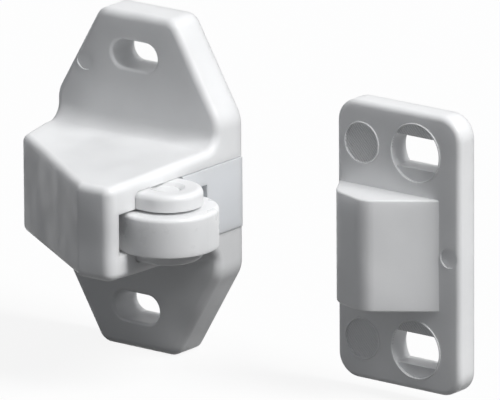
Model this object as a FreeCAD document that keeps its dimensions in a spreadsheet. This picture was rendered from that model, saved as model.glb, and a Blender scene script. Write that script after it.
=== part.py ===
import FreeCAD, Part
import math
import os

import Sketcher

# Roller catch for a cupboard door: a moulded housing with a sprung roller that leans out
# of its right side, and a separate strike plate with a hump for the roller to ride over.
# The origin is the centre of the housing's back face. X runs to the side where the roller
# comes out, the front faces -Y and Z is up.

# Driving dimensions, in millimetres and degrees
DIMENSIONS = [
    ("plate_height", 44.0, "overall height of the screw plate"),
    ("plate_width", 26.0, "overall width at the back"),
    ("plate_tip_width", 11.8, "width of the top and bottom edges"),
    ("plate_side_height", 19.7, "height of the upright side edges"),
    ("plate_thickness", 4.7, "thickness of the screw plate"),
    ("tip_corner_radius", 2.0, "corner radius in plan at the top and bottom"),
    ("side_corner_radius", 4.0, "corner radius in plan at the sides"),
    ("mould_draft", 1.5, "draft angle of the outer walls"),
    ("screw_spacing", 33.0, "distance between the two screw slots"),
    ("screw_slot_width", 3.7, "width of a screw slot"),
    ("screw_slot_length", 7.2, "overall length of a screw slot"),
    ("screw_slot_shift", 0.3, "screw slots, off the middle to the left"),
    ("slot_rim_radius", 0.4, "rounding of the slot's front rim"),
    ("box_depth", 26.0, "back face to the front of the mechanism box"),
    ("box_height", 13.5, "height of the mechanism box at the back face"),
    ("shoulder_depth", 7.6, "depth where the box's left side starts to lean in"),
    ("corner_inset", 1.5, "box's left corner, in from the plate's edge"),
    ("corner_depth", 13.3, "depth of the box's left corner"),
    ("crease_offset", 7.3, "where the slanted front meets the square front"),
    ("shoulder_radius", 9.0, "rounding of the bend in the box's left side"),
    ("corner_radius", 1.5, "rounding of the box's left corner"),
    ("crease_radius", 0.8, "rounding of the crease in the front"),
    ("front_radius", 1.3, "rounding of the box's front right edge"),
    ("outer_edge_radius", 1.0, "rounding of the outer rim and box edges"),
    ("root_radius", 2.0, "hollow fillet between plate and box"),
    ("wall", 1.5, "wall of the mechanism box"),
    ("roller_overhang", 1.0, "roller axis, beyond the housing's right side"),
    ("roller_depth", 16.4, "roller axis, forward of the back face"),
    ("roller_diameter", 12.8, "roller"),
    ("roller_thickness", 5.05, "roller"),
    ("roller_top_radius", 0.5, "rounding of the roller's upper rim"),
    ("roller_foot_radius", 0.12, "rounding of the roller's lower rim"),
    ("roller_rest_gap", 0.05, "roller above the lower cheek"),
    ("roller_head_gap", 0.35, "roller below the upper cheek"),
    ("fork_drop", 0.27, "middle of the fork's gap, below the middle of the carrier"),
    ("roller_web_gap", 0.6, "roller to the web behind it"),
    ("pin_diameter", 3.4, "axle pin"),
    ("pin_clearance", 0.05, "radial running clearance of the roller on its pin"),
    ("pin_seat_clearance", 0.01, "radial clearance of the pin in the cheeks"),
    ("pin_recess", 0.35, "pin end below the face of the cheek"),
    ("pin_chamfer", 0.3, "chamfer on the pin's ends"),
    ("pin_mouth_diameter", 4.4, "shallow countersink round the pin"),
    ("carrier_width", 8.9, "carrier and its round cheeks, front to back"),
    ("carrier_height", 9.1, "carrier, over both cheeks"),
    ("cheek_edge_radius", 0.75, "rounding of the cheeks' outer rims and of their channel"),
    ("web_thickness", 2.6, "web that joins the cheeks"),
    ("lug_length", 1.8, "stop lug, along the travel"),
    ("lug_reach", 0.9, "stop lug, out from the carrier's back"),
    ("guide_clearance", 0.12, "carrier to its channel, front and back"),
    ("cheek_clearance", 0.05, "carrier to its channel, above and below"),
    ("stop_clearance", 0.05, "stop lug to the end of its groove at rest"),
    ("travel", 5.0, "how far the roller can be pushed in"),
    ("roller_slot_gap", 1.35, "roller to the front end of its slot"),
    ("rear_slot_gap", 3.0, "roller to the back end of its slot, in the insert"),
    ("insert_clearance", 0.1, "rear insert to the housing, each side"),
    ("insert_proud", 0.15, "rear insert proud of the housing's right side"),
    ("insert_core_depth", 5.2, "depth of the hollows in the insert's back"),
    ("insert_rib", 1.4, "walls and rib round the insert's hollows"),
    ("insert_end_wall", 2.1, "insert's wall at the housing's right side"),
    ("seat_ledge", 1.0, "insert's left end, in from the housing's inner wall"),
    ("spring_diameter", 5.0, "coil outside diameter"),
    ("spring_wire", 0.5, "wire"),
    ("spring_turns", 4.0, "turns"),
    ("spring_back", 1.8, "spring axis, behind the roller's axis"),
    ("spring_clearance", 0.25, "radial clearance of the spring in its seats"),
    ("spring_seat", 1.3, "depth of the spring's seat in the web"),
    ("pocket_depth", 1.4, "depth of the spring's seat in the housing"),
    ("end_clearance", 0.1, "spring end to the floor of its seat"),
    ("strike_height", 36.0, "strike plate"),
    ("strike_width", 19.0, "strike plate"),
    ("strike_thickness", 3.0, "strike plate"),
    ("strike_corner_radius", 3.0, "strike plate's corners"),
    ("strike_edge_radius", 0.7, "rounding of the strike's front rim"),
    ("strike_out", 39.75, "middle of the strike, out from the middle of the catch"),
    ("strike_drop", 2.1, "middle of the strike, below the middle of the catch"),
    ("hump_height", 5.6, "top of the hump above the strike's face"),
    ("hump_width", 15.8, "foot of the hump, from the strike's left edge"),
    ("hump_length", 14.5, "hump, along the strike"),
    ("hump_peak", 8.0, "highest line of the hump, from the left edge"),
    ("hump_heel", 2.7, "shoulder of the steep side, from the left edge"),
    ("hump_shoulder", 3.9, "shoulder of the steep side, above the face"),
    ("hump_shoulder_radius", 3.4, "rounding of the shoulder"),
    ("hump_peak_radius", 3.0, "rounding of the highest line"),
    ("hump_end_radius", 0.25, "rounding of the hump's end rims"),
    ("strike_screw_spacing", 25.4, "distance between the strike's screw holes"),
    ("strike_screw_inset", 6.8, "screw holes, in from the right edge"),
    ("sinking_diameter", 7.4, "shallow round recess, as wide as the slot is long"),
    ("sinking_depth", 0.25, "shallow round recess"),
    ("strike_slot_width", 4.1, "slot through the recess"),
    ("mark_diameter", 5.1, "round ejector mark"),
    ("mark_inset", 3.9, "ejector marks, in from the left edge"),
    ("small_mark_diameter", 2.5, "small ejector mark"),
    ("small_mark_inset", 1.7, "small ejector mark, in from the right edge"),
    ("mark_depth", 0.2, "depth of the marks"),
    ("lip_width", 0.16, "raised lip round the marks and recesses"),
    ("lip_height", 0.08, "raised lip round the marks and recesses"),
    ("plate_mark_diameter", 2.6, "round ejector mark on the screw plate"),
    ("plate_mark_out", 8.1, "mark on the screw plate, left of the middle"),
    ("plate_mark_up", 14.8, "mark on the screw plate, above the middle"),
    ("plate_mark_depth", 0.12, "depth of the mark on the screw plate"),
]

document = FreeCAD.newDocument("roller_catch")
sheet = document.addObject("Spreadsheet::Sheet", "Sizes")
for row, (alias, number, note) in enumerate(DIMENSIONS, start=1):
    sheet.set(f"A{row}", note)
    sheet.set(f"B{row}", str(number))
    sheet.setAlias(f"B{row}", alias)
document.recompute()

ORIGIN = -1
START, END, CENTRE = 1, 2, 3
SHARP_ANGLE = 20.0
REACH = 2.0
OVERLAP = 0.5
SIZE = {alias: number for alias, number, note in DIMENSIONS}


# Expressions shared by several pieces

def size(alias):
    return f"Sizes.{alias}"


HALF_WIDTH = "Sizes.plate_width / 2"
DRAFT = "tan(Sizes.mould_draft)"
OUTSIDE = f"({HALF_WIDTH} + {REACH})"
CARRIER_HALF = "(Sizes.carrier_height / 2)"
CHANNEL_HALF = f"({CARRIER_HALF} + Sizes.cheek_clearance)"
FORK_HALF = "((Sizes.roller_thickness + Sizes.roller_rest_gap + Sizes.roller_head_gap) / 2)"
CHANNEL_FRONT = "(Sizes.roller_depth + Sizes.carrier_width / 2 + Sizes.guide_clearance)"
CHANNEL_BACK = "(Sizes.roller_depth - Sizes.carrier_width / 2 - Sizes.guide_clearance)"
SLOT_FRONT = "(Sizes.roller_depth + Sizes.roller_diameter / 2 + Sizes.roller_slot_gap)"
SLOT_BACK = "(Sizes.roller_depth - Sizes.roller_diameter / 2 - Sizes.rear_slot_gap)"
ROLLER_OUT = f"({HALF_WIDTH} + Sizes.roller_overhang)"
WEB_FRONT = f"({ROLLER_OUT} - Sizes.roller_diameter / 2 - Sizes.roller_web_gap)"
WEB_BACK = f"({WEB_FRONT} - Sizes.web_thickness)"
CAVITY_LEFT = f"({WEB_BACK} - Sizes.travel - Sizes.guide_clearance)"
CORNER_X = f"(Sizes.corner_inset - {HALF_WIDTH})"
SLANT_RUN = f"(Sizes.crease_offset - {CORNER_X})"
SLANT_RISE = "(Sizes.box_depth - Sizes.corner_depth)"
SLANT_LENGTH = f"sqrt({SLANT_RUN} ^ 2 + {SLANT_RISE} ^ 2)"
SPRING_DEPTH = "(Sizes.roller_depth - Sizes.spring_back)"
SPRING_SEAT_RADIUS = "(Sizes.spring_diameter / 2 + Sizes.spring_clearance)"
STRIKE_LEFT = "(Sizes.strike_out - Sizes.strike_width / 2)"
STRIKE_RIGHT = "(Sizes.strike_out + Sizes.strike_width / 2)"


def inner_slant_x(depth):
    """Where the inner face of the slanted wall lies at a depth in front of the back face."""
    along = f"({depth} - Sizes.corner_depth) * {SLANT_RUN} / {SLANT_RISE}"
    return f"({CORNER_X} + {along} + Sizes.wall * {SLANT_LENGTH} / {SLANT_RISE})"


def inner_slant_depth(offset):
    """How far forward the inner face of the slanted wall lies at an offset along X."""
    across = f"({offset} - {CORNER_X}) * {SLANT_RISE} / {SLANT_RUN}"
    return f"(Sizes.corner_depth + {across} - Sizes.wall * {SLANT_LENGTH} / {SLANT_RUN})"


# Sketches and features

def new_body(name):
    body = document.addObject("PartDesign::Body", name)
    body.Label = name
    return body


def new_sketch(body, name, plane):
    sketch = body.newObject("Sketcher::SketchObject", name)
    support = [item for item in body.Origin.OriginFeatures if item.Role == plane][0]
    sketch.AttachmentSupport = [(support, "")]
    sketch.MapMode = "FlatFace"
    return sketch


def worth(item, expression):
    return float(item.evalExpression(expression))


def pin_point(sketch, geometry, point, across, upward):
    """Hold one point of the sketch at two expressions, measured from the sketch's origin."""
    for kind, expression in (("DistanceX", across), ("DistanceY", upward)):
        number = sketch.addConstraint(Sketcher.Constraint(
            kind, ORIGIN, 1, geometry, point, worth(sketch, expression)))
        sketch.setExpression(f"Constraints[{number}]", expression)


def add_outline(sketch, corners):
    """Closed outline of straight lines through corners given as pairs of expressions."""
    count = len(corners)
    spots = [FreeCAD.Vector(worth(sketch, across), worth(sketch, upward), 0)
             for across, upward in corners]
    first = sketch.GeometryCount
    for i in range(count):
        sketch.addGeometry(Part.LineSegment(spots[i], spots[(i + 1) % count]), False)
    for i in range(count):
        follower = first + (i + 1) % count
        sketch.addConstraint(Sketcher.Constraint("Coincident", first + i, END, follower, START))
    for i, (across, upward) in enumerate(corners):
        pin_point(sketch, first + i, START, across, upward)


def add_rectangle(sketch, left, right, low, high):
    add_outline(sketch, [(left, low), (right, low), (right, high), (left, high)])


def add_flat_sided_hole(sketch, across, upward, half_height, radius):
    """Round hole whose top and bottom are cut off flat."""
    x, y, rise, reach = (worth(sketch, text) for text in (across, upward, half_height, radius))
    slant = math.asin(rise / reach)
    run = reach * math.cos(slant)
    circle = Part.Circle(FreeCAD.Vector(x, y, 0), FreeCAD.Vector(0, 0, 1), reach)
    left, right = (sketch.addGeometry(Part.ArcOfCircle(circle, start, start + 2 * slant), False)
                   for start in (math.pi - slant, -slant))
    low, high = (sketch.addGeometry(Part.LineSegment(
        FreeCAD.Vector(x - side * run, y - side * rise, 0),
        FreeCAD.Vector(x + side * run, y - side * rise, 0)), False) for side in (1, -1))
    for joint in ((left, END, low, START), (low, END, right, START),
                  (right, END, high, START), (high, END, left, START),
                  (left, CENTRE, right, CENTRE)):
        sketch.addConstraint(Sketcher.Constraint("Coincident", *joint))
    sketch.addConstraint(Sketcher.Constraint("Equal", left, right))
    for line in (low, high):
        sketch.addConstraint(Sketcher.Constraint("Horizontal", line))
    pin_point(sketch, left, CENTRE, across, upward)
    for kind, items, start, text in (("Radius", (left,), reach, radius),
                                     ("DistanceY", (left, CENTRE, high, START), rise, half_height),
                                     ("DistanceY", (low, START, left, CENTRE), rise, half_height)):
        number = sketch.addConstraint(Sketcher.Constraint(kind, *items, start))
        sketch.setExpression(f"Constraints[{number}]", text)


def add_circle(sketch, across, upward, radius):
    middle = FreeCAD.Vector(worth(sketch, across), worth(sketch, upward), 0)
    reach = worth(sketch, radius)
    circle = Part.Circle(middle, FreeCAD.Vector(0, 0, 1), reach)
    index = sketch.addGeometry(circle, False)
    number = sketch.addConstraint(Sketcher.Constraint("Radius", index, reach))
    sketch.setExpression(f"Constraints[{number}]", radius)
    pin_point(sketch, index, CENTRE, across, upward)


def add_slot(sketch, across, upward, half_run, radius):
    """Slot with round ends that runs along the sketch's first axis."""
    x, y, run, reach = (worth(sketch, text) for text in (across, upward, half_run, radius))
    left, right = (sketch.addGeometry(Part.ArcOfCircle(Part.Circle(
        FreeCAD.Vector(x + side * run, y, 0), FreeCAD.Vector(0, 0, 1), reach),
        start, start + math.pi), False) for side, start in ((-1, math.pi / 2), (1, -math.pi / 2)))
    low, high = (sketch.addGeometry(Part.LineSegment(
        FreeCAD.Vector(x - side * run, y - side * reach, 0),
        FreeCAD.Vector(x + side * run, y - side * reach, 0)), False) for side in (1, -1))
    for joint in ((left, END, low, START), (low, END, right, START),
                  (right, END, high, START), (high, END, left, START)):
        sketch.addConstraint(Sketcher.Constraint("Tangent", *joint))
    sketch.addConstraint(Sketcher.Constraint("Equal", left, right))
    number = sketch.addConstraint(Sketcher.Constraint("Radius", left, reach))
    sketch.setExpression(f"Constraints[{number}]", radius)
    pin_point(sketch, left, CENTRE, f"{across} - {half_run}", upward)
    pin_point(sketch, right, CENTRE, f"{across} + {half_run}", upward)


def add_pad(body, name, sketch, length, middle=False):
    pad = body.newObject("PartDesign::Pad", name)
    pad.Profile = sketch
    pad.Midplane = middle
    pad.setExpression("Length", length)
    document.recompute()
    return pad


def add_pocket(body, name, sketch, length, middle=False, reversed_cut=False):
    """Cut the sketch out of the body, and make sure that the cut took something away."""
    before = body.Shape.Volume
    pocket = body.newObject("PartDesign::Pocket", name)
    pocket.Profile = sketch
    pocket.Midplane = middle
    pocket.Reversed = reversed_cut
    pocket.setExpression("Length", length)
    document.recompute()
    if body.Shape.Volume >= before:
        raise RuntimeError(f"{name} cuts nothing")
    return pocket


def add_fillet(body, name, edges, radius):
    base = body.Tip
    fillet = body.newObject("PartDesign::Fillet", name)
    fillet.Base = (base, edges)
    fillet.setExpression("Radius", radius)
    document.recompute()
    return fillet


def add_chamfer(body, name, edges, reach):
    base = body.Tip
    chamfer = body.newObject("PartDesign::Chamfer", name)
    chamfer.Base = (base, edges)
    chamfer.setExpression("Size", reach)
    document.recompute()
    return chamfer


def drop_to_fork(sketch):
    """Lower a sketch from the middle of the carrier to the middle of the fork's gap."""
    sketch.setExpression("AttachmentOffset.Base.z", "-Sizes.fork_drop")


# Choosing edges by where they lie

def middle_of(edge):
    return edge.valueAt((edge.FirstParameter + edge.LastParameter) / 2)


def chosen_edges(shape, wanted):
    names = []
    for number, edge in enumerate(shape.Edges, start=1):
        if wanted(edge, middle_of(edge)):
            names.append(f"Edge{number}")
    if not names:
        raise RuntimeError("no edge was found to round")
    return names


def runs_along(edge, direction):
    """Whether a straight edge runs along a direction, give or take the draft."""
    if not isinstance(edge.Curve, (Part.Line, Part.LineSegment)):
        return False
    along = (edge.Vertexes[-1].Point - edge.Vertexes[0].Point).normalize()
    return abs(along.dot(direction)) > math.cos(math.radians(SHARP_ANGLE / 2))


def is_sharp(shape, edge):
    """Whether the two faces beside an edge meet at a clear angle."""
    point = middle_of(edge)
    normals = []
    for face in shape.ancestorsOfType(edge, Part.Face):
        normals.append(face.normalAt(*face.Surface.parameter(point)))
    return len(normals) == 2 and math.degrees(normals[0].getAngle(normals[1])) > SHARP_ANGLE


ACROSS = FreeCAD.Vector(1, 0, 0)
FORWARD = FreeCAD.Vector(0, 1, 0)
UP = FreeCAD.Vector(0, 0, 1)
NEAR = 0.05


# The pieces

def make_housing():
    body = new_body("housing")
    half_tip = "Sizes.plate_tip_width / 2"
    half_side = "Sizes.plate_side_height / 2"
    half_height = "Sizes.plate_height / 2"

    plate_outline = new_sketch(body, "plate_outline", "XZ_Plane")
    add_outline(plate_outline, [
        (half_tip, half_height), (f"-{half_tip}", half_height),
        (f"-{HALF_WIDTH}", half_side), (f"-{HALF_WIDTH}", f"-{half_side}"),
        (f"-{half_tip}", f"-{half_height}"), (half_tip, f"-{half_height}"),
        (HALF_WIDTH, f"-{half_side}"), (HALF_WIDTH, half_side)])
    add_pad(body, "plate", plate_outline, size("plate_thickness"))
    box_profile = new_sketch(body, "box_profile", "YZ_Plane")
    back_half = "Sizes.box_height / 2"
    front_half = f"(Sizes.box_height / 2 - Sizes.box_depth * {DRAFT})"
    add_outline(box_profile, [
        ("0", f"-{back_half}"), ("0", back_half),
        ("-Sizes.box_depth", front_half), ("-Sizes.box_depth", f"-{front_half}")])
    add_pad(body, "box", box_profile, size("plate_width"), middle=True)

    trim = new_sketch(body, "plan_trim", "XY_Plane")
    side_x = f"(Sizes.shoulder_depth * {DRAFT} - {HALF_WIDTH})"
    beyond = f"-Sizes.box_depth - {REACH}"
    add_outline(trim, [
        (f"-{HALF_WIDTH}", "0"), (side_x, "-Sizes.shoulder_depth"),
        (CORNER_X, "-Sizes.corner_depth"), (size("crease_offset"), "-Sizes.box_depth"),
        (size("crease_offset"), beyond), (f"-{OUTSIDE}", beyond), (f"-{OUTSIDE}", "0")])
    add_outline(trim, [
        (HALF_WIDTH, "0"), (OUTSIDE, "0"), (OUTSIDE, beyond),
        (f"{HALF_WIDTH} - (Sizes.box_depth + {REACH}) * {DRAFT}", beyond)])
    add_pocket(body, "sides_and_front", trim, f"Sizes.plate_height + {REACH}", middle=True)

    tips = SIZE["plate_height"] / 2 - OVERLAP
    shape = body.Shape
    add_fillet(body, "tip_corners", chosen_edges(
        shape, lambda edge, spot: runs_along(edge, FORWARD) and abs(spot.z) > tips),
        size("tip_corner_radius"))
    shape = body.Shape
    reach = SIZE["plate_width"] / 2 - OVERLAP
    add_fillet(body, "side_corners", chosen_edges(
        shape, lambda edge, spot: runs_along(edge, FORWARD) and is_sharp(shape, edge)
        and abs(spot.x) > reach and abs(spot.z) > SIZE["box_height"] / 2 + NEAR),
        size("side_corner_radius"))

    slope = math.tan(math.radians(SIZE["mould_draft"]))
    half_width = SIZE["plate_width"] / 2
    upright_edges = (
        ("shoulder", SIZE["shoulder_depth"] * slope - half_width, SIZE["shoulder_depth"]),
        ("corner", SIZE["corner_inset"] - half_width, SIZE["corner_depth"]),
        ("crease", SIZE["crease_offset"], SIZE["box_depth"]),
        ("front", half_width - SIZE["box_depth"] * slope, SIZE["box_depth"]))
    for name, place, depth in upright_edges:
        shape = body.Shape
        add_fillet(body, f"{name}_edge", chosen_edges(
            shape, lambda edge, spot: runs_along(edge, UP)
            and math.hypot(spot.x - place, spot.y + depth) < NEAR), size(f"{name}_radius"))

    shape = body.Shape
    face_y = -SIZE["plate_thickness"]
    add_fillet(body, "box_root", chosen_edges(
        shape, lambda edge, spot: runs_along(edge, ACROSS) and abs(spot.y - face_y) < NEAR
        and abs(spot.z) < SIZE["box_height"] / 2 + NEAR), size("root_radius"))

    shape = body.Shape
    add_fillet(body, "outer_rim", chosen_edges(
        shape, lambda edge, spot: spot.y < -NEAR and is_sharp(shape, edge)
        and not runs_along(edge, UP)), size("outer_edge_radius"))

    for name, sign in (("upper", ""), ("lower", "-")):
        outline = new_sketch(body, f"{name}_slot_outline", "XZ_Plane")
        add_slot(outline, "-Sizes.screw_slot_shift", f"{sign}Sizes.screw_spacing / 2",
                 "(Sizes.screw_slot_length - Sizes.screw_slot_width) / 2",
                 "Sizes.screw_slot_width / 2")
        add_pocket(body, f"{name}_slot", outline, size("box_depth"), middle=True)
    shape = body.Shape
    inner = SIZE["screw_slot_length"] / 2 + NEAR
    outer = SIZE["screw_spacing"] / 2 - SIZE["screw_slot_width"]
    add_fillet(body, "slot_rims", chosen_edges(
        shape, lambda edge, spot: abs(spot.y - face_y) < NEAR and abs(spot.x) < inner
        and abs(spot.z) > outer and is_sharp(shape, edge)), size("slot_rim_radius"))

    mark = new_sketch(body, "plate_mark_outline", "XZ_Plane")
    add_circle(mark, "-Sizes.plate_mark_out", size("plate_mark_up"), "Sizes.plate_mark_diameter / 2")
    mark.setExpression("AttachmentOffset.Base.z", size("plate_thickness"))
    add_pocket(body, "plate_mark", mark, size("plate_mark_depth"))

    channel = new_sketch(body, "channel_outline", "XY_Plane")
    left_wall = f"(Sizes.wall + Sizes.seat_ledge - {HALF_WIDTH})"
    add_outline(channel, [
        (OUTSIDE, f"{REACH}"), (OUTSIDE, f"-{CHANNEL_FRONT}"),
        (inner_slant_x(CHANNEL_FRONT), f"-{CHANNEL_FRONT}"),
        (CAVITY_LEFT, f"-{inner_slant_depth(CAVITY_LEFT)}"),
        (CAVITY_LEFT, f"-{CHANNEL_BACK}"), (left_wall, f"-{CHANNEL_BACK}"),
        (left_wall, f"{REACH}")])
    add_pocket(body, "channel", channel, f"2 * {CHANNEL_HALF}", middle=True)

    shape = body.Shape
    channel_front = -worth(body, CHANNEL_FRONT)
    channel_half = worth(body, CHANNEL_HALF)
    add_fillet(body, "channel_corners", chosen_edges(
        shape, lambda edge, spot: abs(spot.y - channel_front) < NEAR
        and abs(abs(spot.z) - channel_half) < NEAR and runs_along(edge, ACROSS)),
        size("cheek_edge_radius"))

    recess = new_sketch(body, "roller_recess_outline", "XY_Plane")
    overlap = f"({CHANNEL_FRONT} - {OVERLAP})"
    add_outline(recess, [
        (OUTSIDE, f"-{overlap}"), (OUTSIDE, f"-{SLOT_FRONT}"),
        (inner_slant_x(SLOT_FRONT), f"-{SLOT_FRONT}"),
        (inner_slant_x(overlap), f"-{overlap}")])
    drop_to_fork(recess)
    add_pocket(body, "roller_recess", recess, f"2 * {FORK_HALF}", middle=True)

    seat = new_sketch(body, "spring_seat_outline", "YZ_Plane")
    add_circle(seat, f"-{SPRING_DEPTH}", "0", SPRING_SEAT_RADIUS)
    seat.setExpression("AttachmentOffset.Base.z", CAVITY_LEFT)
    add_pocket(body, "spring_seat_cut", seat, size("pocket_depth"))
    return body


def make_rear_insert():
    body = new_body("rear_insert")
    half = f"({CHANNEL_HALF} - Sizes.insert_clearance)"
    front = f"({CHANNEL_BACK} - Sizes.insert_clearance)"
    left = f"(Sizes.wall + Sizes.seat_ledge + Sizes.insert_clearance - {HALF_WIDTH})"
    right = f"({HALF_WIDTH} + Sizes.insert_proud)"

    plan = new_sketch(body, "insert_plan", "XY_Plane")
    add_outline(plan, [(left, "0"), (right, "0"),
                       (f"{right} - {front} * {DRAFT}", f"-{front}"), (left, f"-{front}")])
    add_pad(body, "block", plan, f"2 * {half}", middle=True)

    recess = new_sketch(body, "roller_clearance_plan", "XY_Plane")
    recess_left = f"({WEB_FRONT} - Sizes.travel)"
    add_rectangle(recess, recess_left, OUTSIDE, f"-{front} - {REACH}", f"-{SLOT_BACK}")
    drop_to_fork(recess)
    add_pocket(body, "roller_clearance", recess, f"2 * {FORK_HALF}", middle=True)

    groove = new_sketch(body, "lug_groove_plan", "XY_Plane")
    groove_front = f"({CHANNEL_BACK} - Sizes.lug_reach)"
    add_rectangle(groove, CAVITY_LEFT, f"{WEB_BACK} + Sizes.lug_length + Sizes.stop_clearance",
                  f"-{front} - {REACH}", f"-{groove_front}")
    add_pocket(body, "lug_groove", groove, "Sizes.box_height", middle=True)

    hollows = new_sketch(body, "hollow_outlines", "XZ_Plane")
    low, high = f"Sizes.insert_rib - {half}", f"{half} - Sizes.insert_rib"
    add_rectangle(hollows, f"{left} + Sizes.insert_rib", "-Sizes.insert_rib / 2", low, high)
    add_rectangle(hollows, "Sizes.insert_rib / 2", f"{right} - Sizes.insert_end_wall", low, high)
    add_pocket(body, "hollows", hollows, size("insert_core_depth"), reversed_cut=True)
    return body


def make_carrier():
    body = new_body("roller_carrier")
    back = "(Sizes.carrier_width / 2 - Sizes.roller_depth)"
    front = "(-Sizes.carrier_width / 2 - Sizes.roller_depth)"

    plan = new_sketch(body, "carrier_plan", "XY_Plane")
    add_rectangle(plan, WEB_BACK, ROLLER_OUT, front, back)
    add_pad(body, "block", plan, f"2 * {CARRIER_HALF}", middle=True)
    nose = new_sketch(body, "nose_plan", "XY_Plane")
    add_circle(nose, ROLLER_OUT, "-Sizes.roller_depth", "Sizes.carrier_width / 2")
    add_pad(body, "nose", nose, f"2 * {CARRIER_HALF}", middle=True)

    shape = body.Shape
    outer = worth(body, CARRIER_HALF)
    web_back = worth(body, WEB_BACK)
    add_fillet(body, "cheek_rims", chosen_edges(
        shape, lambda edge, spot: abs(abs(spot.z) - outer) < NEAR and spot.x > web_back + NEAR),
        size("cheek_edge_radius"))

    lugs = new_sketch(body, "lug_plan", "XY_Plane")
    add_rectangle(lugs, WEB_BACK, f"{WEB_BACK} + Sizes.lug_length", f"{back} - {OVERLAP}",
                  f"{back} + Sizes.lug_reach")
    add_pad(body, "lugs", lugs, f"2 * ({CARRIER_HALF} - Sizes.cheek_edge_radius)", middle=True)

    fork = new_sketch(body, "fork_gap_plan", "XY_Plane")
    add_rectangle(fork, WEB_FRONT, f"{ROLLER_OUT} + Sizes.carrier_width",
                  f"{front} - {REACH}", f"{back} + {REACH}")
    drop_to_fork(fork)
    add_pocket(body, "fork_gap", fork, f"2 * {FORK_HALF}", middle=True)
    notch = new_sketch(body, "lug_gap_plan", "XY_Plane")
    add_rectangle(notch, f"{WEB_BACK} - {REACH}", f"{WEB_BACK} + Sizes.lug_length + {REACH}", back,
                  f"{back} + Sizes.lug_reach + {REACH}")
    drop_to_fork(notch)
    add_pocket(body, "lug_gap", notch, f"2 * {FORK_HALF}", middle=True)

    # The front corner leans like the housing's slanted wall, a full travel away from it
    corner = new_sketch(body, "corner_plan", "XY_Plane")
    shift = "(Sizes.travel + Sizes.guide_clearance * 2)"
    low, high = f"({CHANNEL_FRONT} + {REACH})", CHANNEL_BACK
    add_outline(corner, [
        (f"{inner_slant_x(low)} + {shift}", f"-{low}"),
        (f"{inner_slant_x(high)} + {shift}", f"-{high}"),
        (f"{inner_slant_x(high)} - {REACH}", f"-{high}"),
        (f"{inner_slant_x(high)} - {REACH}", f"-{low}")])
    add_pocket(body, "corner_cut", corner, "Sizes.box_height", middle=True)

    bore = new_sketch(body, "pin_bore_plan", "XY_Plane")
    bore_radius = "(Sizes.pin_diameter / 2 + Sizes.pin_seat_clearance)"
    add_circle(bore, ROLLER_OUT, "-Sizes.roller_depth", bore_radius)
    add_pocket(body, "pin_bore", bore, "Sizes.box_height", middle=True)
    shape = body.Shape
    reach = worth(body, bore_radius)
    add_chamfer(body, "pin_mouths", chosen_edges(
        shape, lambda edge, spot: isinstance(edge.Curve, Part.Circle)
        and abs(edge.Curve.Radius - reach) < NEAR
        and abs(abs(spot.z) - outer) < NEAR),
        f"Sizes.pin_mouth_diameter / 2 - {bore_radius}")

    seat = new_sketch(body, "spring_seat_outline", "YZ_Plane")
    add_circle(seat, f"-{SPRING_DEPTH}", "0", SPRING_SEAT_RADIUS)
    seat.setExpression("AttachmentOffset.Base.z", WEB_BACK)
    add_pocket(body, "spring_seat_cut", seat, size("spring_seat"), reversed_cut=True)
    return body


def place_at_roller(body):
    body.setExpression("Placement.Base.x", ROLLER_OUT)
    body.setExpression("Placement.Base.y", "-Sizes.roller_depth")


def make_roller():
    body = new_body("roller")
    section = new_sketch(body, "roller_section", "XZ_Plane")
    bore = "(Sizes.pin_diameter / 2 + Sizes.pin_clearance)"
    add_rectangle(section, bore, "Sizes.roller_diameter / 2",
                  "-Sizes.roller_thickness / 2", "Sizes.roller_thickness / 2")
    turned = body.newObject("PartDesign::Revolution", "turned")
    turned.Profile = section
    turned.ReferenceAxis = (section, ["V_Axis"])
    turned.Angle = 360.0
    document.recompute()
    rim = SIZE["roller_diameter"] / 2
    for name, side, radius in (("upper_rim", 1, "roller_top_radius"),
                               ("lower_rim", -1, "roller_foot_radius")):
        shape = body.Shape
        add_fillet(body, name, chosen_edges(
            shape, lambda edge, spot: isinstance(edge.Curve, Part.Circle)
            and abs(edge.Curve.Radius - rim) < NEAR and spot.z * side > OVERLAP), size(radius))
    place_at_roller(body)
    body.setExpression("Placement.Base.z", f"Sizes.roller_thickness / 2 + Sizes.roller_rest_gap"
                       f" - {FORK_HALF} - Sizes.fork_drop")
    return body


def make_pin():
    body = new_body("axle_pin")
    section = new_sketch(body, "pin_section", "XY_Plane")
    add_circle(section, "0", "0", "Sizes.pin_diameter / 2")
    add_pad(body, "shank", section, f"2 * ({CARRIER_HALF} - Sizes.pin_recess)", middle=True)
    shape = body.Shape
    add_chamfer(body, "ends", chosen_edges(
        shape, lambda edge, spot: isinstance(edge.Curve, Part.Circle)), size("pin_chamfer"))
    place_at_roller(body)
    return body


def make_spring():
    """Coil of round wire between its seats in the housing and the carrier."""
    start = f"({CAVITY_LEFT} - Sizes.pocket_depth + Sizes.end_clearance + Sizes.spring_wire / 2)"
    finish = f"({WEB_BACK} + Sizes.spring_seat - Sizes.end_clearance - Sizes.spring_wire / 2)"
    coil_radius = "(Sizes.spring_diameter - Sizes.spring_wire) / 2"
    body = new_body("spring")
    wire = new_sketch(body, "wire_section", "XZ_Plane")
    add_circle(wire, start, coil_radius, "Sizes.spring_wire / 2")
    coil = body.newObject("PartDesign::AdditiveHelix", "coil")
    coil.Profile = wire
    coil.ReferenceAxis = (wire, ["H_Axis"])
    coil.Mode = "height-turns-angle"
    coil.setExpression("Height", f"{finish} - {start}")
    coil.setExpression("Turns", size("spring_turns"))
    document.recompute()
    body.setExpression("Placement.Base.y", f"-{SPRING_DEPTH}")
    return body


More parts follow.
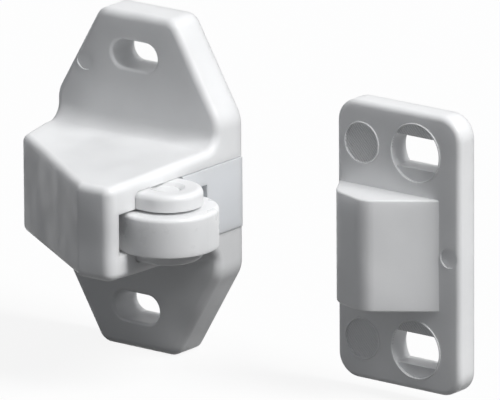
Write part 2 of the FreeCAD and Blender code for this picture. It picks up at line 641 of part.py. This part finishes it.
def make_strike():
    body = new_body("strike_plate")
    half = "Sizes.strike_height / 2"
    outline = new_sketch(body, "strike_outline", "XZ_Plane")
    add_rectangle(outline, STRIKE_LEFT, STRIKE_RIGHT, f"-{half}", half)
    add_pad(body, "plate", outline, size("strike_thickness"))
    shape = body.Shape
    add_fillet(body, "corners", chosen_edges(
        shape, lambda edge, spot: runs_along(edge, FORWARD)), size("strike_corner_radius"))
    shape = body.Shape
    face_y = -SIZE["strike_thickness"]
    add_fillet(body, "front_rim", chosen_edges(
        shape, lambda edge, spot: abs(spot.y - face_y) < NEAR), size("strike_edge_radius"))

    section = new_sketch(body, "hump_section", "XY_Plane")
    inside = "Sizes.strike_edge_radius"
    add_outline(section, [
        (STRIKE_LEFT, f"{inside} - Sizes.strike_thickness"),
        (f"{STRIKE_LEFT} + Sizes.hump_heel", "-Sizes.strike_thickness - Sizes.hump_shoulder"),
        (f"{STRIKE_LEFT} + Sizes.hump_peak", "-Sizes.strike_thickness - Sizes.hump_height"),
        (f"{STRIKE_LEFT} + Sizes.hump_width", "-Sizes.strike_thickness"),
        (f"{STRIKE_LEFT} + Sizes.hump_width", f"{inside} - Sizes.strike_thickness")])
    add_pad(body, "hump", section, size("hump_length"), middle=True)
    left = SIZE["strike_out"] - SIZE["strike_width"] / 2
    for name, radius, place in (("shoulder", "hump_shoulder_radius", "hump_heel"),
                                ("peak", "hump_peak_radius", "hump_peak")):
        shape = body.Shape
        line_x = left + SIZE[place]
        add_fillet(body, name, chosen_edges(
            shape, lambda edge, spot: runs_along(edge, UP) and abs(spot.x - line_x) < NEAR
            and spot.y < face_y - NEAR), size(radius))
    shape = body.Shape
    end_z = SIZE["hump_length"] / 2
    add_fillet(body, "hump_ends", chosen_edges(
        shape, lambda edge, spot: abs(abs(spot.z) - end_z) < NEAR and spot.y < face_y - NEAR
        and is_sharp(shape, edge)), size("hump_end_radius"))

    hole_x = f"({STRIKE_RIGHT} - Sizes.strike_screw_inset)"
    row = "Sizes.strike_screw_spacing / 2"
    lips = new_sketch(body, "lip_outlines", "XZ_Plane")
    round_spots = [(hole_x, f"{sign}{row}", "Sizes.sinking_diameter / 2") for sign in ("", "-")]
    round_spots += [(f"{STRIKE_LEFT} + Sizes.mark_inset", f"{sign}{row}",
                     "Sizes.mark_diameter / 2") for sign in ("", "-")]
    for across, upward, radius in round_spots:
        add_circle(lips, across, upward, radius)
        add_circle(lips, across, upward, f"{radius} + Sizes.lip_width")
    lips.setExpression("AttachmentOffset.Base.z", size("strike_thickness"))
    add_pad(body, "lips", lips, size("lip_height"))
    sinkings = new_sketch(body, "sinking_outlines", "XZ_Plane")
    for sign in ("", "-"):
        add_circle(sinkings, hole_x, f"{sign}{row}", "Sizes.sinking_diameter / 2")
    sinkings.setExpression("AttachmentOffset.Base.z", size("strike_thickness"))
    add_pocket(body, "sinkings", sinkings, size("sinking_depth"))
    slots = new_sketch(body, "strike_slot_outlines", "XZ_Plane")
    for sign in ("", "-"):
        add_flat_sided_hole(slots, hole_x, f"{sign}{row}", "Sizes.strike_slot_width / 2",
                            "Sizes.sinking_diameter / 2")
    add_pocket(body, "strike_slots", slots, size("strike_width"), middle=True)

    marks = new_sketch(body, "mark_outlines", "XZ_Plane")
    for sign in ("", "-"):
        add_circle(marks, f"{STRIKE_LEFT} + Sizes.mark_inset", f"{sign}{row}",
                   "Sizes.mark_diameter / 2")
    add_circle(marks, f"{STRIKE_RIGHT} - Sizes.small_mark_inset", "0",
               "Sizes.small_mark_diameter / 2")
    marks.setExpression("AttachmentOffset.Base.z", size("strike_thickness"))
    add_pocket(body, "marks", marks, size("mark_depth"))
    body.setExpression("Placement.Base.z", "-Sizes.strike_drop")
    return body


PIECES = [make_housing(), make_rear_insert(), make_carrier(), make_roller(), make_pin(),
          make_spring(), make_strike()]
document.recompute()

# Check every object, then write each piece
for item in document.Objects:
    if "Invalid" in item.State or "Error" in item.State:
        raise RuntimeError(f"{item.Label} failed: {item.State}")
for piece in PIECES:
    if piece.Shape.isNull() or not piece.Shape.isValid():
        raise RuntimeError(f"{piece.Label} has no valid shape")
os.makedirs("parts", exist_ok=True)
for piece in PIECES:
    piece.Shape.exportStep(os.path.join("parts", f"{piece.Label}.step"))
    print(piece.Label, round(piece.Shape.Volume, 2), len(piece.Shape.Solids))
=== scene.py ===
import math

import bmesh
import bpy
from mathutils import Matrix, Vector


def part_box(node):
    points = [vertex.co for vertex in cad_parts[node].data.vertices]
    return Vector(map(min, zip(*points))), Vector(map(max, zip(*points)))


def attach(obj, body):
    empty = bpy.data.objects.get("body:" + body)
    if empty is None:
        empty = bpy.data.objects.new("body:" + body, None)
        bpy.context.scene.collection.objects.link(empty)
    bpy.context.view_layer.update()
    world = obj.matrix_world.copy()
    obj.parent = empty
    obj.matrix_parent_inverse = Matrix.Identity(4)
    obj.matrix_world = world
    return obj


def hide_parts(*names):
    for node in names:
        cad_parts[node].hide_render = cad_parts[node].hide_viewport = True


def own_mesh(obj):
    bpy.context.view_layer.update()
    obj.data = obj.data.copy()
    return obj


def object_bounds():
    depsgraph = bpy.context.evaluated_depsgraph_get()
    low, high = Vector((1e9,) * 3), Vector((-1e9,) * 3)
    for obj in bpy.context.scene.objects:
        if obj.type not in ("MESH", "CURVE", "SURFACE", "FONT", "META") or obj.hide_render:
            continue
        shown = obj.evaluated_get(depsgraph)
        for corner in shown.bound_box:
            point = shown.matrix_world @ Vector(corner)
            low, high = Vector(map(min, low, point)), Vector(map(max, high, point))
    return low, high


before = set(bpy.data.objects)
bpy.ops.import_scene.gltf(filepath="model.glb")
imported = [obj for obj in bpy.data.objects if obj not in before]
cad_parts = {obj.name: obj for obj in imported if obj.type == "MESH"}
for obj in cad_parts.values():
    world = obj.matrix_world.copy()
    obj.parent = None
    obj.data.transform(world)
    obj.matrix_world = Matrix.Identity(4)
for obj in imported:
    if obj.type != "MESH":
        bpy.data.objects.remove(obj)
cad_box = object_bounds()

MM = 0.001

# Camera, fitted to the edges of the screw plate and the box
AZIMUTH, ELEVATION, ROLL = math.radians(37.5), math.radians(16.2), math.radians(-0.35)
DISTANCE = 1428.6 * MM
ASIDE, ABOVE = 11.39 * MM, -3.27 * MM
LENS, SENSOR = 814.6, 36.0
NEAREST, FARTHEST = 0.1, 10.0

# Light and floor; the floor's half width is in metres
WORLD_LEVEL, WORLD_COLOUR = 0.22, (0.93, 0.955, 1.0)
KEY_LEVEL, KEY_SPREAD, KEY_DIRECTION = 3.1, 26, (0.655, 0.024, 0.755)
FLOOR_COLOUR, FLOOR_GLOW, FLOOR_HALF = 0.10, 0.89, 1.2

# The middle share of a noise's values, which is spread over the whole range
NOISE_LOW, NOISE_HIGH = 0.3, 0.7

# Plastic, with periods and depths in millimetres
WHITE = (0.86, 0.865, 0.87)
BRIGHT = (0.92, 0.925, 0.93)
COOL = (0.80, 0.82, 0.845)
MOTTLE_PERIOD, MOTTLE_SHADE = 6.0, 0.965
GLOSS_PERIOD, GLOSS_DROP, GLOSS_RISE = 2.4, 0.05, 0.06
SINK_PERIOD, GRAIN_PERIOD, GRAIN_DEPTH = 9.0, 0.28, 0.012
PLASTIC_IOR, PLASTIC_SPECULAR, GLOW_DEPTH = 1.5, 0.38, 2.0

# Wire, with periods and depths in millimetres
DARK_WIRE, LIGHT_WIRE = (0.50, 0.50, 0.51), (0.68, 0.68, 0.69)
DRAWN_PERIOD, DRAWN_GRAIN_PERIOD, DRAWN_GRAIN_DEPTH = 0.5, 0.1, 0.005
WIRE_GLOSS_PERIOD, WIRE_GLOSS_LOW, WIRE_GLOSS_HIGH = 0.9, 0.22, 0.38

# Places of the small marks, in millimetres
strike_low, strike_high = (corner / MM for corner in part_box("strike_plate"))
STRIKE_MIDDLE = (strike_low.z + strike_high.z) / 2
STRIKE_ROWS = (STRIKE_MIDDLE + 12.7, STRIKE_MIDDLE - 12.7)
MARK_X, MARK_RADIUS = strike_low.x + 3.9, 2.55
SINKING_X, SINKING_RADIUS, SLOT_HALF = strike_high.x - 6.8, 3.7, 2.05
STRIKE_FLOOR_Y = -2.7
SMALL_MARK_X, SMALL_MARK_RADIUS = strike_high.x - 1.7, 1.25
PLATE_MARK_X, PLATE_MARK_Z, PLATE_MARK_RADIUS = -8.1, 14.8, 1.3
PIN_MIDDLE, PIN_MOUTH_RADIUS = sum(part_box("axle_pin"), Vector()) / 2 / MM, 2.2

# Tool marks on the floors of the recesses, in millimetres, with their depth and the painted shade
# in their grooves at strength 1
HATCH_SPACING, HATCH_DEPTH, HATCH_PAINTED_SHADE = 0.32, 0.2, 0.2
HATCH_ACROSS, HATCH_UPWARD = 0.74, 0.67
HATCH_WANDER, WANDER_PERIOD = 0.3, 1.1
UPPER_MARK_STRENGTH, LOWER_MARK_STRENGTH = 1.0, 0.35

# Raised lips, in millimetres and degrees
LIP_OFFSET, LIP_SIDES, LIP_END = 0.05, 10, 0.15
RIM_LIP, RIDGE_LIP, FINE_LIP = 0.1, 0.12, 0.09
RIDGE_STEP, RIDGE_STEPS = 0.15, 21
ARC_STEP, FEWEST_ARC_STEPS, CIRCLE = 5, 8, 360
SMALL_MARK_ARC, PLATE_MARK_ARC, PIN_MOUTH_ARC = (150, 290), (185, 295), (130, 300)
FORWARD, UPWARD = (0, -1, 0), (0, 0, 1)
RAY_START = 0.1

# Spring; the pitch of its closed ends is a share of the pitch between them
SPRING_WIRE, WIRE_ROUNDNESS, SPRING_TURNS, STEPS_PER_TURN = 0.5, 3, 5, 32
CLOSED_TURNS, CLOSED_PITCH = 0.5, 0.3


# Camera, floor and light

def make_camera():
    """Camera at the photo's angle, on the line from the object along back."""
    back = Vector((math.sin(AZIMUTH) * math.cos(ELEVATION),
                   -math.cos(AZIMUTH) * math.cos(ELEVATION), math.sin(ELEVATION)))
    level = Vector((math.cos(AZIMUTH), math.sin(AZIMUTH), 0.0))
    upright = back.cross(level)
    right = level * math.cos(ROLL) + upright * math.sin(ROLL)
    up = upright * math.cos(ROLL) - level * math.sin(ROLL)
    place = right * ASIDE + up * ABOVE + back * DISTANCE
    data = bpy.data.cameras.new("camera")
    data.lens, data.sensor_width, data.sensor_fit = LENS, SENSOR, "HORIZONTAL"
    data.clip_start, data.clip_end = NEAREST, FARTHEST
    camera = bpy.data.objects.new("camera", data)
    camera.matrix_world = Matrix((
        (right.x, up.x, back.x, place.x), (right.y, up.y, back.y, place.y),
        (right.z, up.z, back.z, place.z), (0, 0, 0, 1)))
    bpy.context.scene.collection.objects.link(camera)
    bpy.context.scene.camera = camera


def seen_directly(nodes, links):
    """1 for rays that show the surroundings to the camera, in a mirror or through glass."""
    path = nodes.new("ShaderNodeLightPath")
    total = path.outputs["Is Camera Ray"]
    for name in ("Is Glossy Ray", "Is Transmission Ray"):
        larger = nodes.new("ShaderNodeMath")
        larger.operation = "MAXIMUM"
        links.new(total, larger.inputs[0])
        links.new(path.outputs[name], larger.inputs[1])
        total = larger.outputs[0]
    return total


def make_world():
    """World that lights the object weakly and shows as white."""
    world = bpy.data.worlds.new("studio")
    world.use_nodes = True
    nodes, links = world.node_tree.nodes, world.node_tree.links
    nodes.clear()
    dim, white = nodes.new("ShaderNodeBackground"), nodes.new("ShaderNodeBackground")
    dim.inputs["Color"].default_value = (*WORLD_COLOUR, 1)
    dim.inputs["Strength"].default_value = WORLD_LEVEL
    white.inputs["Color"].default_value = (1, 1, 1, 1)
    mix, out = nodes.new("ShaderNodeMixShader"), nodes.new("ShaderNodeOutputWorld")
    links.new(seen_directly(nodes, links), mix.inputs[0])
    links.new(dim.outputs[0], mix.inputs[1])
    links.new(white.outputs[0], mix.inputs[2])
    links.new(mix.outputs[0], out.inputs["Surface"])
    bpy.context.scene.world = world


def make_floor():
    """Floor under the object that shows as almost white and keeps the shadow."""
    low = cad_box[0]
    mesh = bpy.data.meshes.new("floor")
    corners = [(-FLOOR_HALF, -FLOOR_HALF, low.z), (FLOOR_HALF, -FLOOR_HALF, low.z),
               (FLOOR_HALF, FLOOR_HALF, low.z), (-FLOOR_HALF, FLOOR_HALF, low.z)]
    mesh.from_pydata(corners, [], [(0, 1, 2, 3)])
    floor = bpy.data.objects.new("floor", mesh)
    bpy.context.scene.collection.objects.link(floor)
    material = bpy.data.materials.new("floor")
    material.use_nodes = True
    nodes, links = material.node_tree.nodes, material.node_tree.links
    nodes.clear()
    matt, glow = nodes.new("ShaderNodeBsdfDiffuse"), nodes.new("ShaderNodeEmission")
    matt.inputs["Color"].default_value = (FLOOR_COLOUR, FLOOR_COLOUR, FLOOR_COLOUR, 1)
    level = nodes.new("ShaderNodeMath")
    level.operation = "MULTIPLY"
    level.inputs[1].default_value = FLOOR_GLOW
    links.new(seen_directly(nodes, links), level.inputs[0])
    links.new(level.outputs[0], glow.inputs["Strength"])
    both, out = nodes.new("ShaderNodeAddShader"), nodes.new("ShaderNodeOutputMaterial")
    links.new(matt.outputs[0], both.inputs[0])
    links.new(glow.outputs[0], both.inputs[1])
    links.new(both.outputs[0], out.inputs["Surface"])
    mesh.materials.append(material)


def make_key_lamp():
    """Soft lamp far away, to the right and above."""
    data = bpy.data.lights.new("key_lamp", "SUN")
    data.energy, data.angle = KEY_LEVEL, math.radians(KEY_SPREAD)
    lamp = bpy.data.objects.new("key_lamp", data)
    lamp.rotation_mode = "QUATERNION"
    lamp.rotation_quaternion = Vector(KEY_DIRECTION).to_track_quat("Z", "Y")
    bpy.context.scene.collection.objects.link(lamp)


# Materials

class Paint:
    """Node material built up step by step."""

    def __init__(self, name):
        self.material = bpy.data.materials.new(name)
        self.material.use_nodes = True
        self.nodes = self.material.node_tree.nodes
        self.links = self.material.node_tree.links
        self.shader = self.nodes["Principled BSDF"]
        self.place = self.nodes.new("ShaderNodeTexCoord").outputs["Object"]

    def set(self, **values):
        """Set the shader's own sockets, with underscores for the spaces in their names."""
        for name, value in values.items():
            self.shader.inputs[name.replace("_", " ")].default_value = value

    def drive(self, name, source):
        """Link a source to one of the shader's sockets."""
        self.links.new(source, self.shader.inputs[name])

    def noise(self, period, detail):
        """Noise with a period in millimetres."""
        texture = self.nodes.new("ShaderNodeTexNoise")
        texture.inputs["Scale"].default_value = 1 / (period * MM)
        texture.inputs["Detail"].default_value = detail
        self.links.new(self.place, texture.inputs["Vector"])
        return texture.outputs["Fac"]

    def between(self, factor, low, high):
        """Map a noise to the range from low to high."""
        node = self.nodes.new("ShaderNodeMapRange")
        node.inputs["From Min"].default_value = NOISE_LOW
        node.inputs["From Max"].default_value = NOISE_HIGH
        node.inputs["To Min"].default_value = low
        node.inputs["To Max"].default_value = high
        self.links.new(factor, node.inputs["Value"])
        return node.outputs[0]

    def maths(self, operation, *values):
        """Result of an operation on numbers or sources."""
        node = self.nodes.new("ShaderNodeMath")
        node.operation = operation
        for socket, value in zip(node.inputs, values):
            if isinstance(value, (int, float)):
                socket.default_value = value
            else:
                self.links.new(value, socket)
        return node.outputs[0]

    def colour_between(self, factor, first, second):
        """Base colour that goes from the first to the second with the factor."""
        node = self.nodes.new("ShaderNodeMix")
        node.data_type = "RGBA"
        node.inputs["A"].default_value = (*first, 1)
        node.inputs["B"].default_value = (*second, 1)
        self.links.new(factor, node.inputs["Factor"])
        self.colour = node.outputs["Result"]
        self.drive("Base Color", self.colour)

    def darken(self, factor, level):
        """Darken the base colour to a share of itself where the factor is 1."""
        node = self.nodes.new("ShaderNodeMix")
        node.data_type, node.blend_type = "RGBA", "MULTIPLY"
        self.links.new(factor, node.inputs["Factor"])
        self.links.new(self.colour, node.inputs["A"])
        node.inputs["B"].default_value = (level, level, level, 1)
        self.colour = node.outputs["Result"]
        self.drive("Base Color", self.colour)

    def bump(self, height, depth, strength=1.0, under=None):
        """Bump of a height from 0 to 1, worth depth in millimetres, on top of one under it."""
        node = self.nodes.new("ShaderNodeBump")
        node.inputs["Distance"].default_value = depth * MM
        node.inputs["Strength"].default_value = strength
        self.links.new(height, node.inputs["Height"])
        if under is not None:
            self.links.new(under, node.inputs["Normal"])
        self.normal = node.outputs["Normal"]
        self.drive("Normal", self.normal)

    def put_on(self, node_name):
        """Make this the only material of a CAD node."""
        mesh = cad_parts[node_name].data
        mesh.materials.clear()
        mesh.materials.append(self.material)


def moulded_plastic(name, colour, roughness, grain=0.35, sink=0.05, glow=0.6):
    """Satin moulded plastic, with the depth of its sink marks in millimetres."""
    paint = Paint(name)
    shaded = tuple(value * MOTTLE_SHADE for value in colour)
    mottle = paint.between(paint.noise(MOTTLE_PERIOD, 3.0), 0.0, 1.0)
    paint.colour_between(mottle, shaded, colour)
    paint.drive("Roughness", paint.between(paint.noise(GLOSS_PERIOD, 4.0), roughness - GLOSS_DROP,
                                           roughness + GLOSS_RISE))
    paint.bump(paint.noise(SINK_PERIOD, 1.0), sink)
    paint.bump(paint.noise(GRAIN_PERIOD, 3.0), GRAIN_DEPTH, grain, paint.normal)
    paint.set(IOR=PLASTIC_IOR, Specular_IOR_Level=PLASTIC_SPECULAR, Subsurface_Weight=glow,
              Subsurface_Radius=(1.0, 1.0, 1.0), Subsurface_Scale=GLOW_DEPTH * MM)
    return paint


def spring_steel(name):
    """Bright drawn wire."""
    paint = Paint(name)
    drawn = paint.between(paint.noise(DRAWN_PERIOD, 3.0), 0.0, 1.0)
    paint.colour_between(drawn, DARK_WIRE, LIGHT_WIRE)
    paint.drive("Roughness", paint.between(paint.noise(WIRE_GLOSS_PERIOD, 3.0), WIRE_GLOSS_LOW,
                                           WIRE_GLOSS_HIGH))
    paint.bump(paint.noise(DRAWN_GRAIN_PERIOD, 2.0), DRAWN_GRAIN_DEPTH, 0.3)
    paint.set(Metallic=1.0)
    return paint


def add_hatching_with_painted_shade(paint, centre, radius, strength, shadowed_upper_half_only=False):
    """Fine slanting tool marks on the floor of a round recess in the front of a plate, as bumps
    with painted shade in their grooves. When kept to the upper half, that painted shade stands in
    for the shadow of the recess's upper wall.
    """
    split = paint.nodes.new("ShaderNodeSeparateXYZ")
    paint.links.new(paint.place, split.inputs[0])
    across = paint.maths("SUBTRACT", split.outputs["X"], centre[0] * MM)
    upward = paint.maths("SUBTRACT", split.outputs["Z"], centre[1] * MM)
    distance = paint.maths("SQRT", paint.maths(
        "ADD", paint.maths("MULTIPLY", across, across), paint.maths("MULTIPLY", upward, upward)))
    on_floor = paint.maths("LESS_THAN", split.outputs["Y"], STRIKE_FLOOR_Y * MM)
    inside = paint.maths("MULTIPLY", on_floor, paint.maths("LESS_THAN", distance, radius * MM))
    # upper half only: painted shadow of the recess's upper wall
    if shadowed_upper_half_only:
        inside = paint.maths("MULTIPLY", inside, paint.maths("GREATER_THAN", upward, 0.0))
    slant = paint.maths("ADD", paint.maths("MULTIPLY", across, HATCH_ACROSS),
                        paint.maths("MULTIPLY", upward, HATCH_UPWARD))
    wander = paint.maths("MULTIPLY", paint.noise(WANDER_PERIOD, 2.0), HATCH_WANDER * MM)
    ripple = paint.maths("SINE", paint.maths(
        "MULTIPLY", paint.maths("ADD", slant, wander), 2 * math.pi / (HATCH_SPACING * MM)))
    groove_and_painted_shade = paint.maths("MULTIPLY", inside, paint.between(ripple, 0.0, 1.0))
    # painted shade: the base colour darkens in the grooves of the tool marks
    paint.darken(groove_and_painted_shade, 1 - HATCH_PAINTED_SHADE * strength)
    paint.bump(groove_and_painted_shade, HATCH_DEPTH * strength, under=paint.normal)


def paint_strike():
    """Plastic of the strike plate, with tool marks and painted shade in their grooves on the
    floors of its recesses; on the head recesses only on the upper half, as painted shadow of the
    upper wall.
    """
    paint = moulded_plastic("strike_plastic", BRIGHT, 0.38, sink=0.3, glow=0.45)
    for row, mark_strength in zip(STRIKE_ROWS, (UPPER_MARK_STRENGTH, LOWER_MARK_STRENGTH)):
        add_hatching_with_painted_shade(paint, (MARK_X, row), MARK_RADIUS, mark_strength)
        # head recesses: tool marks and painted shadow on the upper half only
        add_hatching_with_painted_shade(paint, (SINKING_X, row), SINKING_RADIUS, 1.0, shadowed_upper_half_only=True)
    paint.put_on("strike_plate")


# Thin raised lips that the mould leaves

def arc(middle, radius, plane, start=0, end=CIRCLE):
    """Points along an arc in the XZ or XY plane; a full circle has its first point once."""
    steps = max(FEWEST_ARC_STEPS, round((end - start) / ARC_STEP))
    count = steps + 1 if end - start < CIRCLE else steps
    points = []
    for step in range(count):
        angle = math.radians(start + (end - start) * step / steps)
        across, up = radius * math.cos(angle), radius * math.sin(angle)
        offset = (across, 0, up) if plane == "XZ" else (across, up, 0)
        points.append(Vector(middle) + Vector(offset))
    return points


def settle(node_name, points, normal):
    """Drop points in millimetres on the face of a node that looks along the normal."""
    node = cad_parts[node_name]
    settled = []
    for point in points:
        hit, place = node.ray_cast(point * MM + normal * RAY_START, -normal)[:2]
        if hit:
            settled.append(place)
    return settled


def make_lip(name, node_name, body, points, normal, thick, closed=True):
    """Round-topped lip along points, half sunk in the face that looks along the normal."""
    normal = Vector(normal)
    path = settle(node_name, points, normal)
    count = len(path)
    shape = bmesh.new()
    rings = []
    for index, point in enumerate(path):
        before = path[index - 1] if closed or index else point
        after = path[(index + 1) % count] if closed or index < count - 1 else point
        outward = (after - before).normalized().cross(normal)
        taper = 1.0 if closed else max(LIP_END, math.sin(math.pi * index / (count - 1)) ** 0.5)
        ring = []
        for side in range(LIP_SIDES):
            turn = 2 * math.pi * side / LIP_SIDES
            reach = outward * math.cos(turn) + normal * math.sin(turn)
            ring.append(shape.verts.new(point + reach * thick * taper * MM))
        rings.append(ring)
    for index in range(count if closed else count - 1):
        near, far = rings[index], rings[(index + 1) % count]
        for side in range(LIP_SIDES):
            other = (side + 1) % LIP_SIDES
            shape.faces.new((near[side], near[other], far[other], far[side]))
    if not closed:
        shape.faces.new(reversed(rings[0]))
        shape.faces.new(rings[-1])
    bmesh.ops.recalc_face_normals(shape, faces=shape.faces)
    mesh = bpy.data.meshes.new(name)
    shape.to_mesh(mesh)
    shape.free()
    mesh.shade_smooth()
    mesh.materials.append(lip_paint.material)
    piece = bpy.data.objects.new(name, mesh)
    bpy.context.scene.collection.objects.link(piece)
    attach(piece, body)


def make_strike_lips():
    """Lips round the strike's marks and head recesses, and along its slots."""
    for name, row in zip(("upper", "lower"), STRIKE_ROWS):
        for kind, out, radius in (("mark", MARK_X, MARK_RADIUS),
                                  ("sinking", SINKING_X, SINKING_RADIUS)):
            rim = arc((out, 0, row), radius + LIP_OFFSET, "XZ")
            make_lip(f"{name}_{kind}_lip", "strike_plate", "catch_body", rim, FORWARD, RIM_LIP)
        edge_z = row - SLOT_HALF - LIP_OFFSET
        ridge = [Vector((SINKING_X + step * RIDGE_STEP, 0, edge_z))
                 for step in range(-RIDGE_STEPS, RIDGE_STEPS + 1)]
        make_lip(f"{name}_slot_ridge", "strike_plate", "catch_body", ridge, FORWARD, RIDGE_LIP,
                 closed=False)
    middle = (SMALL_MARK_X, 0, STRIKE_MIDDLE)
    small = arc(middle, SMALL_MARK_RADIUS + LIP_OFFSET, "XZ", *SMALL_MARK_ARC)
    make_lip("small_mark_lip", "strike_plate", "catch_body", small, FORWARD, FINE_LIP,
             closed=False)


def make_catch_lips():
    """Crescents at the mark on the screw plate and at the mouth of the pin hole."""
    middle = (PLATE_MARK_X, 0, PLATE_MARK_Z)
    crescent = arc(middle, PLATE_MARK_RADIUS + LIP_OFFSET, "XZ", *PLATE_MARK_ARC)
    make_lip("plate_mark_lip", "housing", "catch_body", crescent, FORWARD, RIDGE_LIP,
             closed=False)
    mouth = arc(PIN_MIDDLE, PIN_MOUTH_RADIUS + LIP_OFFSET, "XY", *PIN_MOUTH_ARC)
    make_lip("pin_mouth_lip", "roller_carrier", "carrier", mouth, UPWARD, FINE_LIP,
             closed=False)


# Spring, a fixed coil on the catch body; in the real catch it shortens as the carrier slides in

def spring_rises(steps):
    """Rise of each step of the coil, as a share of the full rise: less at the closed ends."""
    closed = int(CLOSED_TURNS * STEPS_PER_TURN)
    rises = []
    for step in range(steps):
        from_end = min(step, steps - 1 - step) - closed
        rises.append(CLOSED_PITCH + (1 - CLOSED_PITCH) * min(1, max(0, from_end / closed)))
    return rises


def coil_mesh(low, high):
    """Coil with closed ends along X, from the low to the high corner of its box."""
    wire = SPRING_WIRE / 2 * MM
    centre_y, centre_z = (low.y + high.y) / 2, (low.z + high.z) / 2
    coil = (high.z - low.z) / 2 - wire
    steps = SPRING_TURNS * STEPS_PER_TURN
    rises = spring_rises(steps)
    scale = (high.x - low.x - 2 * wire) / sum(rises)
    curve = bpy.data.curves.new("coil_spring_path", "CURVE")
    curve.dimensions, curve.use_fill_caps = "3D", True
    curve.bevel_depth, curve.bevel_resolution = wire, WIRE_ROUNDNESS
    spline = curve.splines.new("POLY")
    spline.points.add(steps)
    along = low.x + wire
    for step in range(steps + 1):
        turn = 2 * math.pi * step / STEPS_PER_TURN
        spline.points[step].co = (along, centre_y + coil * math.cos(turn),
                                  centre_z + coil * math.sin(turn), 1)
        along += rises[min(step, steps - 1)] * scale
    path = bpy.data.objects.new("coil_spring_path", curve)
    mesh = bpy.data.meshes.new_from_object(path)
    bpy.data.objects.remove(path)
    return mesh


def make_spring():
    """Compression spring in the place of the plain coil."""
    low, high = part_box("spring")
    mesh = coil_mesh(low, high)
    mesh.name = "coil_spring"
    mesh.shade_smooth()
    mesh.materials.clear()
    mesh.materials.append(steel_paint.material)
    piece = bpy.data.objects.new("coil_spring", mesh)
    bpy.context.scene.collection.objects.link(piece)
    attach(piece, "catch_body")
    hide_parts("spring")
    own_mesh(piece)


bpy.context.scene.view_settings.view_transform = "Standard"
make_camera()
make_world()
make_floor()
make_key_lamp()

moulded_plastic("housing_plastic", WHITE, 0.42, sink=0.8).put_on("housing")
moulded_plastic("insert_plastic", COOL, 0.42).put_on("rear_insert")
moulded_plastic("carrier_plastic", WHITE, 0.36).put_on("roller_carrier")
moulded_plastic("roller_plastic", WHITE, 0.30, 0.2).put_on("roller")
moulded_plastic("pin_plastic", WHITE, 0.34).put_on("axle_pin")
steel_paint = spring_steel("spring_wire")
steel_paint.put_on("spring")
paint_strike()
lip_paint = moulded_plastic("lip_plastic", BRIGHT, 0.34, 0.1, glow=0.0)

make_strike_lips()
make_catch_lips()
make_spring()
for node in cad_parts.values():
    node.data.shade_smooth()
